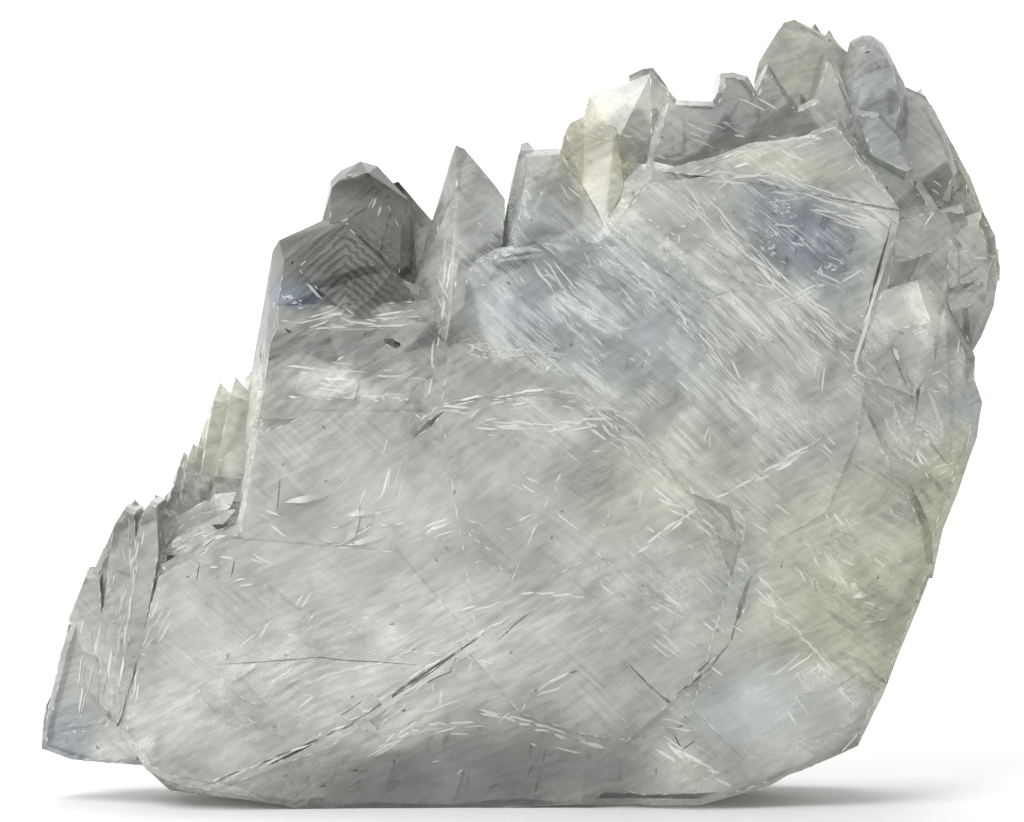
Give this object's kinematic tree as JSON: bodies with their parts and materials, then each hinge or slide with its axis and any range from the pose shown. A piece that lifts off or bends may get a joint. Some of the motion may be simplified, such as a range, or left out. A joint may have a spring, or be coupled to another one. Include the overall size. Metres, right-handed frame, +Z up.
{
  "type": "selenite crystal blade",
  "caption": "Broad plate of clear, intergrown selenite crystals with pointed tips along its upper edges, standing on a flat broken base.",
  "frame": {"origin": "middle of the bounding box at the level of the flat base", "axes": "+Z up, +X along the width towards the high right side, -Y out of the broad cleavage face"},
  "size_m": [0.1928, 0.0428, 0.1578],
  "materials": {
    "selenite": "clear to silky gypsum with a glassy to pearly cleavage face, grey-green in the body, bluish grey in the upper points and pale yellow on the rear edges"
  },
  "bodies": {
    "root": {"crystal_blade": "selenite"}
  },
  "joints": []
}
